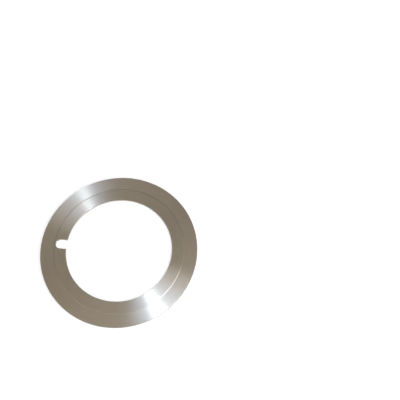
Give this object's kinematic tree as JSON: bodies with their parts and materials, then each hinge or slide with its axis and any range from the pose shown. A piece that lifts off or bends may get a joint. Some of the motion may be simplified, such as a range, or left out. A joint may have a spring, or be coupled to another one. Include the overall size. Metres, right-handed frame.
{
  "type": "circular slitter knife",
  "caption": "Thin ground-steel ring knife: a raised clamping land round a keyed bore and a relieved, square-edged cutting rim, for shear slitting on an arbor.",
  "frame": {"origin": "on the bore axis, at the flat back face that the knife lies on", "axes": "+Z along the bore axis, from the back face to the raised clamping land; the keyway opens from the bore toward -X"},
  "size_m": [0.2, 0.2, 0.003],
  "materials": {
    "ground_steel": "hardened tool steel, both faces ground with a concentric lay that throws radial streaks of light"
  },
  "bodies": {
    "root": {"slitter_knife": "ground_steel"}
  },
  "joints": []
}
